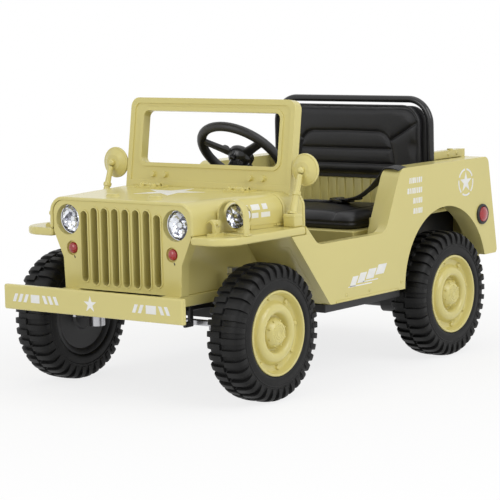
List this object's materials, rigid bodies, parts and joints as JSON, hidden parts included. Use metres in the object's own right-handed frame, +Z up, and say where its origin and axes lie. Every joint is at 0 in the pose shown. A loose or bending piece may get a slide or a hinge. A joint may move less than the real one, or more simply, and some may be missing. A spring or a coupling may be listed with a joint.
{
  "type": "ride-on toy army 4x4 car",
  "caption": "Children's electric ride-on toy styled as an open army 4x4 car, with slotted grille, open windscreen frame, padded seat, lugged wheels and working steering.",
  "frame": {"origin": "middle of the car's box, on the floor under the tyres", "axes": "+Y to the tail, +X to the car's left, +Z up; the nose points to -Y"},
  "size_m": [0.648, 1.1699, 0.639],
  "materials": {
    "sand_plastic": "satin sand moulding",
    "black_plastic": "fine moulded grain",
    "tyre": "dull moulded rubber",
    "seat_vinyl": "black leather-like vinyl",
    "webbing": "woven black webbing",
    "chrome": "bright",
    "clear_lens": "clear",
    "red_lens": "clear red",
    "steel": "plated",
    "mirror": "polished"
  },
  "bodies": {
    "body": {"arch_liners": "sand_plastic", "back_panel": "sand_plastic", "battery": "black_plastic", "bonnet": "sand_plastic", "bonnet_hinges": "sand_plastic", "bonnet_latches": "sand_plastic", "bumper": "sand_plastic", "chassis_pan": "black_plastic", "cowl": "sand_plastic", "dashboard": "sand_plastic", "engine_bay": "sand_plastic", "fender_lamp": "chrome", "fender_lamp_lens": "clear_lens", "fender_left": "sand_plastic", "fender_right": "sand_plastic", "firewall": "sand_plastic", "frame_rails": "sand_plastic", "front_axle": "black_plastic", "front_springs": "steel", "gearboxes": "black_plastic", "grille_panel": "sand_plastic", "grille_screen": "black_plastic", "headlamp_bowls": "chrome", "headlamp_lenses": "clear_lens", "hoop_braces": "sand_plastic", "inner_tub": "sand_plastic", "lamp_guard": "sand_plastic", "marker_lamps": "red_lens", "mirror_glasses": "mirror", "mirrors": "sand_plastic", "pedal": "black_plastic", "rear_axle": "steel", "rear_panel": "sand_plastic", "seat_back": "seat_vinyl", "seat_belt": "webbing", "seat_box": "sand_plastic", "seat_cushion": "seat_vinyl", "seat_hoop": "black_plastic", "side_lamp_bezels": "black_plastic", "side_lamps": "red_lens", "side_panel_left": "sand_plastic", "side_panel_right": "sand_plastic", "steering_column": "black_plastic", "tow_hooks": "black_plastic", "windscreen_frame": "sand_plastic"},
    "steering": {"steering_wheel": "black_plastic", "steering_shaft": "steel"},
    "knuckle_left": {"knuckle_left": "steel"},
    "knuckle_right": {"knuckle_right": "steel"},
    "tie_rod": {"tie_rod": "steel"},
    "wheel_front_left": {"tyre_front_left": "tyre", "rim_front_left": "sand_plastic"},
    "wheel_front_right": {"tyre_front_right": "tyre", "rim_front_right": "sand_plastic"},
    "wheel_rear_left": {"tyre_rear_left": "tyre", "rim_rear_left": "sand_plastic"},
    "wheel_rear_right": {"tyre_rear_right": "tyre", "rim_rear_right": "sand_plastic"}
  },
  "joints": [
    {"name": "steering_turn", "type": "hinge", "parent": "body", "child": "steering", "pos_m": [0, -0.048, 0.502], "axis": [0, 0.6984, 0.7157], "range_deg": [-55, 55]},
    {"name": "knuckle_left_turn", "type": "hinge", "parent": "body", "child": "knuckle_left", "pos_m": [0.2, -0.342, 0.15], "axis": [0, 0, 1], "range_deg": [-22, 22]},
    {"name": "knuckle_right_turn", "type": "hinge", "parent": "body", "child": "knuckle_right", "pos_m": [-0.2, -0.342, 0.15], "axis": [0, 0, 1], "range_deg": [-22, 22]},
    {"name": "tie_rod_swing", "type": "hinge", "parent": "knuckle_left", "child": "tie_rod", "pos_m": [0.2, -0.412, 0.171], "axis": [0, 0, 1], "range_deg": [-22, 22]},
    {"name": "wheel_front_left_spin", "type": "hinge", "parent": "knuckle_left", "child": "wheel_front_left", "pos_m": [0.279, -0.342, 0.15], "axis": [1, 0, 0], "continuous": true},
    {"name": "wheel_front_right_spin", "type": "hinge", "parent": "knuckle_right", "child": "wheel_front_right", "pos_m": [-0.279, -0.342, 0.15], "axis": [1, 0, 0], "continuous": true},
    {"name": "wheel_rear_left_spin", "type": "hinge", "parent": "body", "child": "wheel_rear_left", "pos_m": [0.279, 0.35, 0.15], "axis": [1, 0, 0], "continuous": true},
    {"name": "wheel_rear_right_spin", "type": "hinge", "parent": "body", "child": "wheel_rear_right", "pos_m": [-0.279, 0.35, 0.15], "axis": [1, 0, 0], "continuous": true}
  ],
  "couplings": [
    {"joint": "knuckle_left_turn", "follows": "steering_turn", "ratio": 0.4},
    {"joint": "knuckle_right_turn", "follows": "steering_turn", "ratio": 0.4},
    {"joint": "tie_rod_swing", "follows": "steering_turn", "ratio": -0.4}
  ]
}
